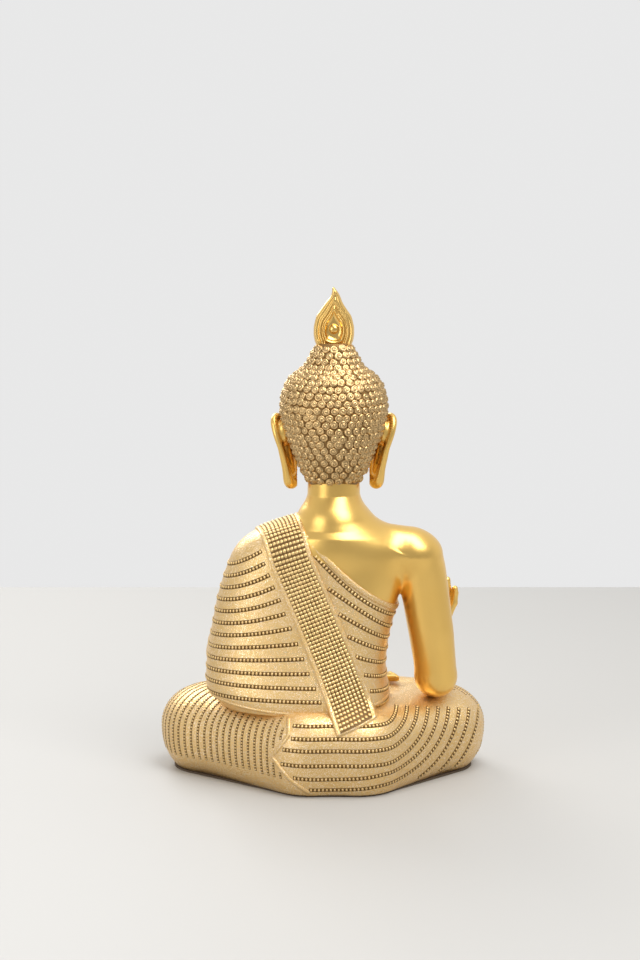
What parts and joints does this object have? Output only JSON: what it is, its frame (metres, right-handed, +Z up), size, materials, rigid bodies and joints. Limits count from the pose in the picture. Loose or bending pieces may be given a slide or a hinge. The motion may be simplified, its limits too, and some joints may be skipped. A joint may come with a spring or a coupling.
{
  "type": "seated buddha statue",
  "caption": "Seated cross-legged Buddha table statue in gold, robe and jewelled sash over the left shoulder, curled hair, topknot and flame, flat felt base.",
  "frame": {"origin": "on the underside of the felt, below the axis of the head and trunk", "axes": "+Z up; the figure faces -Y; +X is the figure's own left, the side with the covered shoulder"},
  "size_m": [0.197, 0.121, 0.3],
  "materials": {
    "skin_gold": "satin gold lacquer on cast resin",
    "robe_gold": "champagne gold with fine glitter, dark wax in the bead rows",
    "sash_gold": "champagne gold relief with dark wax between the beads",
    "hem_gold": "gold cord in relief",
    "hair_gold": "champagne gold curls with darkened recesses",
    "flame_gold": "polished gold lacquer on cast resin",
    "base_board": "raw cast resin",
    "plug_rubber": "moulded rubber",
    "plaster": "poured plaster",
    "pin_steel": "drawn rod",
    "felt": "thin brown felt"
  },
  "bodies": {
    "root": {"base_felt": "felt", "base_plate": "base_board", "fill_plug": "plug_rubber", "ballast": "plaster", "lap_shell": "robe_gold", "waist_pins": "pin_steel", "torso_shell": "robe_gold", "sash": "sash_gold", "robe_hem": "hem_gold", "right_upper_arm": "skin_gold", "shoulder_pin": "pin_steel", "elbow_pin": "pin_steel", "right_forearm": "skin_gold", "wrist_pins": "pin_steel", "right_hand": "skin_gold", "left_forearm": "skin_gold", "left_hand": "skin_gold", "right_foot": "skin_gold", "left_foot": "skin_gold", "neck_pin": "pin_steel", "head_shell": "skin_gold", "hair_cap": "hair_gold", "right_ear": "skin_gold", "left_ear": "skin_gold", "topknot": "hair_gold", "finial_pin": "pin_steel", "flame_finial": "flame_gold"}
  },
  "joints": []
}
